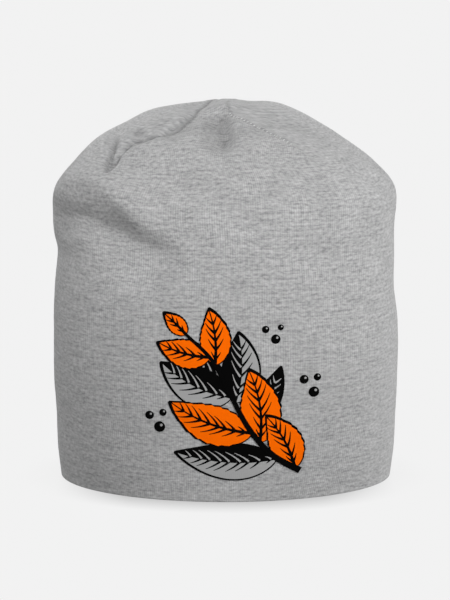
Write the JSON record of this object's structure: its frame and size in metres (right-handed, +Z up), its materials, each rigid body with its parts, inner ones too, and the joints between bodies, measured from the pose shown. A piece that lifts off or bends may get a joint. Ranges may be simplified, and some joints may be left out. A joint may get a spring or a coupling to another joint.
{
  "type": "jersey beanie",
  "caption": "Slouchy jersey beanie: a soft tube of knit folded under at the rim and closed by darts at the crown, filled out and standing on its open rim.",
  "frame": {"origin": "on the surface that the rim stands on, under the middle of the hat", "axes": "+Z up from the open rim to the crown, -Y towards the front, +X to the right as seen from the front"},
  "size_m": [0.2136, 0.1718, 0.2345],
  "materials": {
    "jersey": "heather grey knitted jersey, matt"
  },
  "bodies": {
    "root": {"jersey_shell": "jersey"}
  },
  "joints": []
}
